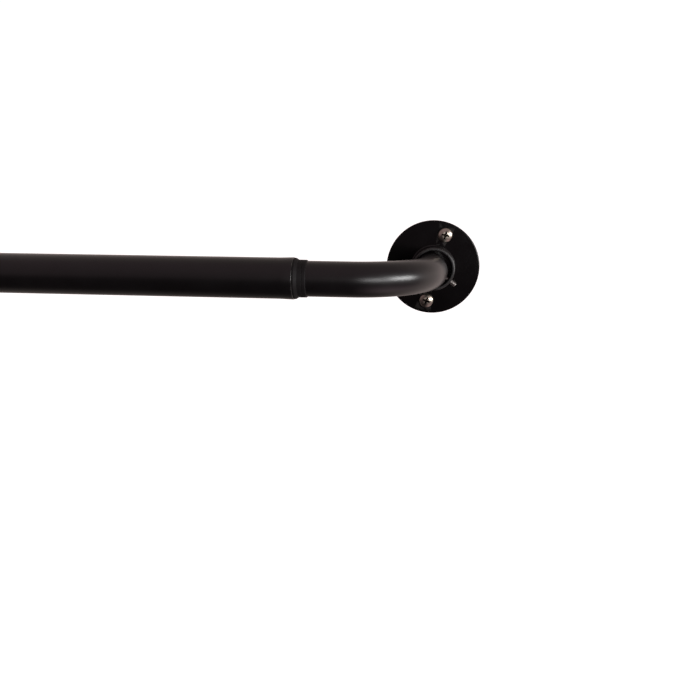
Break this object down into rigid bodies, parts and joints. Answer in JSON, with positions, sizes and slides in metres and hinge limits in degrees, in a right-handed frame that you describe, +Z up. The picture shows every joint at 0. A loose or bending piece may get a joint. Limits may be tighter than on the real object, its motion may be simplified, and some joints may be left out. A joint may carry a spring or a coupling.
{
  "type": "telescoping curtain rod",
  "caption": "Telescoping curtain rod whose ends bend back to the wall, each seated in a round screw-on flange and locked by a set screw.",
  "frame": {"origin": "centre of the right-hand flange's back face, where it meets the wall", "axes": "+X along the rod towards the right-hand flange, +Y into the wall, +Z up"},
  "size_m": [0.797, 0.1229, 0.066],
  "materials": {
    "tube_black": "satin black powder coat on thin steel tube",
    "flange_black": "satin black powder coat on steel",
    "sleeve_black": "satin black moulded nylon",
    "glide_nylon": "natural nylon",
    "plug_grey": "grey nylon",
    "wall_screw_nickel": "warm nickel plate",
    "set_screw_zinc": "bright zinc plate"
  },
  "bodies": {
    "outer_tube": {"outer_tube": "tube_black", "mouth_sleeve": "sleeve_black"},
    "glide": {"inner_glide": "glide_nylon"},
    "inner_tube": {"inner_tube": "tube_black"},
    "right_bracket": {"right_flange_plate": "flange_black", "right_collar": "flange_black", "right_wall_plug_upper": "plug_grey", "right_wall_plug_lower": "plug_grey"},
    "right_set_screw": {"right_set_screw": "set_screw_zinc"},
    "right_wall_screw_upper": {"right_wall_screw_upper": "wall_screw_nickel"},
    "right_wall_screw_lower": {"right_wall_screw_lower": "wall_screw_nickel"},
    "left_bracket": {"left_flange_plate": "flange_black", "left_collar": "flange_black", "left_wall_plug_upper": "plug_grey", "left_wall_plug_lower": "plug_grey"},
    "left_set_screw": {"left_set_screw": "set_screw_zinc"},
    "left_wall_screw_upper": {"left_wall_screw_upper": "wall_screw_nickel"},
    "left_wall_screw_lower": {"left_wall_screw_lower": "wall_screw_nickel"}
  },
  "joints": [
    {"name": "rod_draw_out", "type": "slide", "parent": "outer_tube", "child": "glide", "axis": [1, 0, 0], "range_m": [-0.02, 0.488]},
    {"name": "inner_tube_twist", "type": "hinge", "parent": "glide", "child": "inner_tube", "pos_m": [-0.35, -0.075, 0], "axis": [1, 0, 0], "continuous": true},
    {"name": "right_bracket_turn", "type": "hinge", "parent": "inner_tube", "child": "right_bracket", "pos_m": [-0.0019, -0.009, 0], "axis": [0, 1, 0], "continuous": true},
    {"name": "left_bracket_turn", "type": "hinge", "parent": "outer_tube", "child": "left_bracket", "pos_m": [-0.731, -0.009, 0], "axis": [0, 1, 0], "continuous": true},
    {"name": "right_set_screw_travel", "type": "slide", "parent": "right_bracket", "child": "right_set_screw", "axis": [0.809, 0, -0.5878], "range_m": [0, 0.003]},
    {"name": "left_set_screw_travel", "type": "slide", "parent": "left_bracket", "child": "left_set_screw", "axis": [-0.9945, 0, 0.1045], "range_m": [0, 0.003]},
    {"name": "right_wall_screw_upper_travel", "type": "slide", "parent": "right_bracket", "child": "right_wall_screw_upper", "axis": [0, -1, 0], "range_m": [0, 0.033]},
    {"name": "right_wall_screw_lower_travel", "type": "slide", "parent": "right_bracket", "child": "right_wall_screw_lower", "axis": [0, -1, 0], "range_m": [0, 0.033]},
    {"name": "left_wall_screw_upper_travel", "type": "slide", "parent": "left_bracket", "child": "left_wall_screw_upper", "axis": [0, -1, 0], "range_m": [0, 0.033]},
    {"name": "left_wall_screw_lower_travel", "type": "slide", "parent": "left_bracket", "child": "left_wall_screw_lower", "axis": [0, -1, 0], "range_m": [0, 0.033]}
  ]
}
